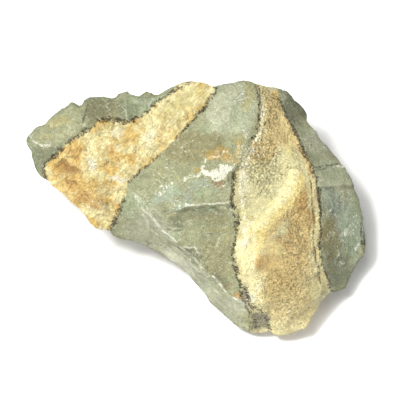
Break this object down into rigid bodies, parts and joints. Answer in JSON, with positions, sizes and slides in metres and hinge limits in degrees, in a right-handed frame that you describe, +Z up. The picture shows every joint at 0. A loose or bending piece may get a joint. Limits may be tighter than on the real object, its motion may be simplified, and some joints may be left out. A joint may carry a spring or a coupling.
{
  "type": "septarian nodule",
  "caption": "Broken piece of a grey-green marl nodule with calcite veins across its face, lying on a small flat spot.",
  "frame": {"origin": "middle of the bounding box in plan, on the ground that the stone rests on", "axes": "+X along the stone's length from its thin tip to its thick end, +Y away from the low front edge that the broken face slopes down to, +Z up"},
  "size_m": [0.1094, 0.074, 0.0534],
  "materials": {
    "stone": "dull grey-green broken marl with honey and cream calcite veins that are thinly edged in dark brown"
  },
  "bodies": {
    "root": {"nodule": "stone"}
  },
  "joints": []
}
